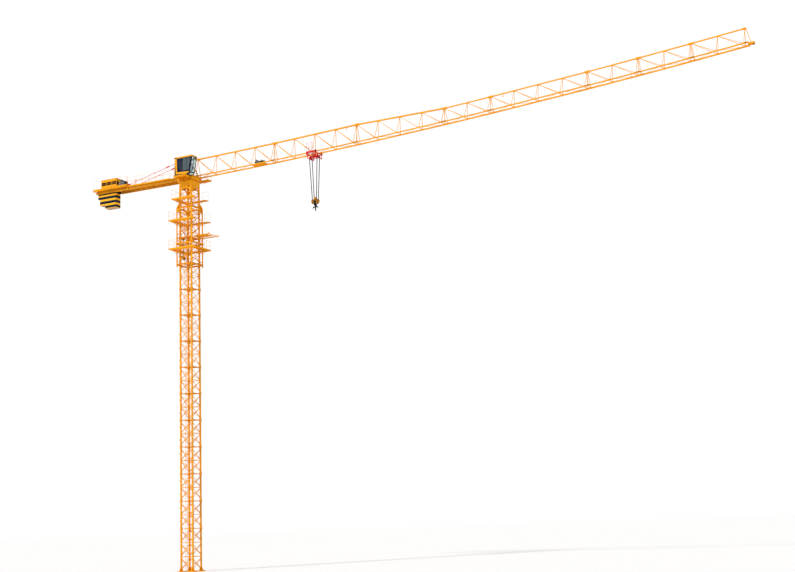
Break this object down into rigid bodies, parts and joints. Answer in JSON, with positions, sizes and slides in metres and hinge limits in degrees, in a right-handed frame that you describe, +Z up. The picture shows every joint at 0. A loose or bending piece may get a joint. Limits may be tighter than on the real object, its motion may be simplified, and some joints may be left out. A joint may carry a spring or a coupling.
{
  "type": "flat-top tower crane, 1:10 scale model",
  "caption": "Flat-top tower crane with a square lattice mast, climbing frame, cambered triangular jib, trolley and double hook, and a counter-jib with banded slabs.",
  "frame": {"origin": "on the mast axis, in the plane of the foot plates' undersides", "axes": "+Z up along the mast, +X out along the jib, +Y to the left of someone looking out along the jib; the cab hangs on the -Y side"},
  "size_m": [7.8691, 0.375, 4.995],
  "materials": {
    "crane_orange": "satin orange paint, dusty, worn at joints",
    "galvanised": "dull hot-dip zinc",
    "machine_grey": "satin grey machinery paint",
    "stay_red": "faded red paint",
    "slab_yellow": "matt yellow and black banded paint on concrete-filled slabs",
    "cab_navy": "satin dark blue paint",
    "cab_glass": "lightly tinted cab glass",
    "trolley_red": "gloss red paint",
    "wheel_steel": "rolled bright treads",
    "rope_steel": "greased wire rope",
    "block_orange": "satin orange and black paint",
    "hook_black": "satin black paint on forged steel"
  },
  "bodies": {
    "mast": {"base_frame": "crane_orange", "mast_chords": "crane_orange", "mast_side_right": "crane_orange", "mast_side_left": "crane_orange", "mast_side_rear": "crane_orange", "mast_side_front": "crane_orange", "mast_rest_platforms": "crane_orange", "mast_ladder": "crane_orange", "jack_yoke": "machine_grey"},
    "climbing_frame": {"cage_posts": "crane_orange", "cage_ring_beams": "crane_orange", "cage_side_right": "crane_orange", "cage_side_left": "crane_orange", "cage_side_rear": "crane_orange", "cage_shoulder_plates": "crane_orange", "platform_lower": "crane_orange", "platform_middle": "crane_orange", "feed_platform": "crane_orange", "jack_barrel": "machine_grey", "transition_chords": "crane_orange", "transition_bracing": "crane_orange", "platform_upper": "crane_orange", "slewing_base": "crane_orange"},
    "upperworks": {"turntable": "crane_orange", "tower_head": "crane_orange", "trolley_winch": "machine_grey", "jib_tip_frame": "crane_orange", "counter_jib_beams": "crane_orange", "counter_jib_deck": "crane_orange", "counter_jib_railing_right": "crane_orange", "counter_jib_railing_left": "crane_orange", "counter_jib_stays": "stay_red", "machinery_house": "crane_orange", "hoist_winch": "machine_grey", "counterweight_slabs": "slab_yellow", "cab_shell": "cab_navy", "cab_glass": "cab_glass", "cab_bracket": "crane_orange", "side_landing": "crane_orange", "jib_section_1": "crane_orange", "jib_section_2": "crane_orange", "jib_section_3": "crane_orange", "jib_section_4": "crane_orange", "jib_section_5": "crane_orange", "jib_section_6": "crane_orange", "jib_section_7": "crane_orange", "jib_section_8": "crane_orange"},
    "cab_door_leaf": {"cab_door": "cab_navy"},
    "trolley": {"trolley_frame": "trolley_red", "trolley_wheels": "wheel_steel", "trolley_basket": "galvanised"},
    "rope_gear": {"hoist_ropes": "rope_steel"},
    "hook_block": {"hook_block": "block_orange"},
    "hook": {"hook": "hook_black"}
  },
  "joints": [
    {"name": "climb", "type": "slide", "parent": "mast", "child": "climbing_frame", "axis": [0, 0, 1], "range_m": [0, 0.146]},
    {"name": "slew", "type": "hinge", "parent": "climbing_frame", "child": "upperworks", "pos_m": [0, 0, 4.4475], "axis": [0, 0, 1], "continuous": true},
    {"name": "cab_door_swing", "type": "hinge", "parent": "upperworks", "child": "cab_door_leaf", "pos_m": [-0.068, -0.17745, 4.58], "axis": [0, 0, 1], "range_deg": [0, 100]},
    {"name": "trolley_travel", "type": "hinge", "parent": "upperworks", "child": "trolley", "pos_m": [-1.242, 0, 89.034], "axis": [0, -1, 0], "range_deg": [-0.83, 3.15]},
    {"name": "rope_plumb", "type": "hinge", "parent": "trolley", "child": "rope_gear", "pos_m": [1.6867, 0, 4.4747], "axis": [0, 1, 0], "range_deg": [-0.83, 3.15]},
    {"name": "hoist", "type": "slide", "parent": "rope_gear", "child": "hook_block", "axis": [0, 0, -1], "range_m": [-0.25, 3.6], "deforming": ["hoist_ropes"]},
    {"name": "hook_swivel", "type": "hinge", "parent": "hook_block", "child": "hook", "pos_m": [1.685, 0, 3.9217], "axis": [0, 0, 1], "continuous": true}
  ],
  "couplings": [
    {"joint": "rope_plumb", "follows": "trolley_travel", "ratio": 1}
  ]
}
